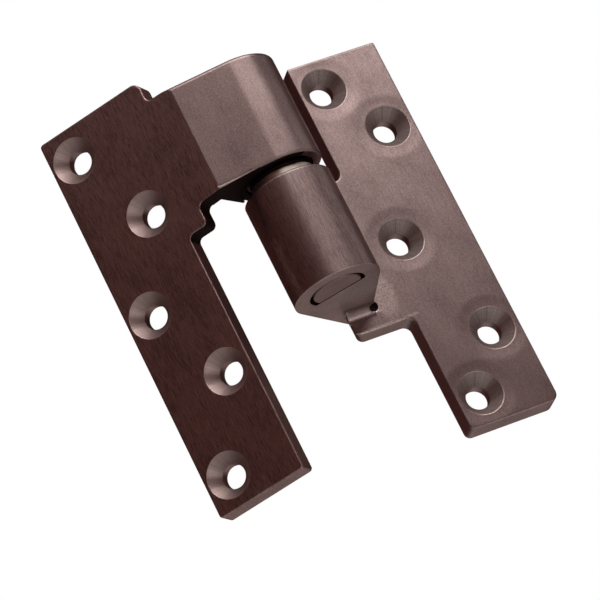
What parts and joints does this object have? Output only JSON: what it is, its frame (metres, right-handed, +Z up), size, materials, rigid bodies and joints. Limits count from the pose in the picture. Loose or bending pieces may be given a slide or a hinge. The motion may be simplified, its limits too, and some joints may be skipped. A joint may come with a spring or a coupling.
{
  "type": "intermediate pivot",
  "caption": "Offset intermediate pivot for a swing door: a jamb leaf with a lower knuckle and pin, and a door leaf whose cranked arm carries the upper knuckle on a thrust bearing.",
  "frame": {"origin": "the jamb leaf's middle screw hole, on the leaf's back face", "axes": "+Z up along the pivot pin as hung, +X out of the jamb leaf's screw face, +Y along the jamb leaf away from the pin"},
  "size_m": [0.0347, 0.0892, 0.1016],
  "materials": {
    "jamb_bronze": "dark statuary bronze, satin with fine brushing and thin worn edges",
    "door_bronze": "dark statuary bronze, brushed along the leaf, thin worn edges",
    "pin_steel": "turned steel, its foot finished with the knuckle",
    "bush_bronze": "plain oil-filled bronze",
    "race_steel": "ground bright steel",
    "cage_steel": "stamped steel, oiled dark",
    "ball_steel": "polished steel"
  },
  "bodies": {
    "jamb": {"jamb_leaf": "jamb_bronze", "pivot_pin": "pin_steel", "lower_race": "race_steel", "ball_cage": "cage_steel", "ball_01": "ball_steel", "ball_02": "ball_steel", "ball_03": "ball_steel", "ball_04": "ball_steel", "ball_05": "ball_steel", "ball_06": "ball_steel", "ball_07": "ball_steel", "ball_08": "ball_steel", "ball_09": "ball_steel", "ball_10": "ball_steel", "ball_11": "ball_steel", "ball_12": "ball_steel", "ball_13": "ball_steel", "ball_14": "ball_steel"},
    "door": {"door_leaf": "door_bronze", "bush": "bush_bronze", "upper_race": "race_steel"}
  },
  "joints": [
    {"name": "pivot", "type": "hinge", "parent": "jamb", "child": "door", "pos_m": [0.0239, -0.0279, 0], "axis": [0, 0, 1], "range_deg": [-85, 219.2]}
  ]
}
